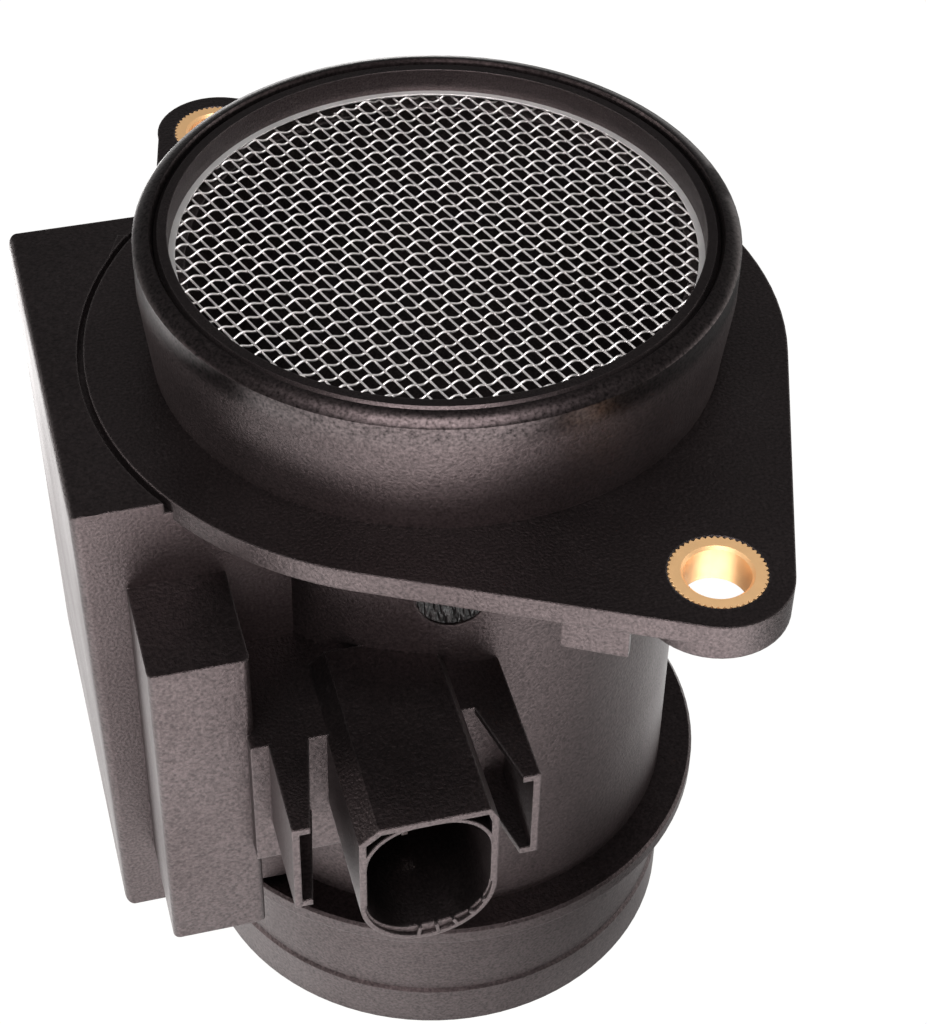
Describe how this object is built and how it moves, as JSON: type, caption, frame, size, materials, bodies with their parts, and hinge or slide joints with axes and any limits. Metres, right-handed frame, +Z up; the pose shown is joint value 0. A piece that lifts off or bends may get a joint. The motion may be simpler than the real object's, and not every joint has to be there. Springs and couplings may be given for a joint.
{
  "type": "mass airflow sensor",
  "caption": "Round air duct with a screened inlet, an oval mounting flange, an electronics box on one side and a plug socket between two guards.",
  "frame": {"origin": "centre of the outlet opening, on the duct axis in the plane of the outlet end", "axes": "+Z up the duct axis to the screened inlet, -X towards the electronics box, -Y towards the plug socket's mouth"},
  "size_m": [0.0951, 0.1167, 0.1188],
  "materials": {
    "housing_plastic": "satin black glass-filled plastic with a fine moulded grain",
    "cover_plastic": "satin black moulded plastic",
    "retainer_plastic": "smooth black plastic",
    "arm_plastic": "black plastic",
    "seal_rubber": "silicone",
    "base_metal": "plain",
    "ceramic_board": "white ceramic with printed tracks",
    "chip_black": "moulded",
    "capacitor_tan": "ceramic",
    "terminal_tin": "tinned copper alloy",
    "sensor_ceramic": "ceramic film",
    "bead_glass": "coated bead",
    "screen_wire": "bright stainless wire",
    "rim_metal": "bright pressed steel",
    "insert_brass": "knurled brass, turned face"
  },
  "bodies": {
    "root": {"housing": "housing_plastic", "electronics_cover": "cover_plastic", "cover_seal": "seal_rubber", "base_plate": "base_metal", "circuit_board": "ceramic_board", "control_chip": "chip_black", "voltage_regulator": "chip_black", "filter_capacitors": "capacitor_tan", "resistors": "chip_black", "terminal_bonds": "terminal_tin", "arm_bonds": "terminal_tin", "hot_film_element": "sensor_ceramic", "air_temperature_element": "bead_glass", "sensing_arm": "arm_plastic", "arm_cover": "arm_plastic", "arm_seal": "seal_rubber", "inlet_screen": "screen_wire", "screen_rim": "rim_metal", "screen_retainer": "retainer_plastic", "insert_rear": "insert_brass", "insert_front": "insert_brass", "terminal_1": "terminal_tin", "terminal_2": "terminal_tin", "terminal_3": "terminal_tin", "terminal_4": "terminal_tin", "terminal_5": "terminal_tin"}
  },
  "joints": []
}
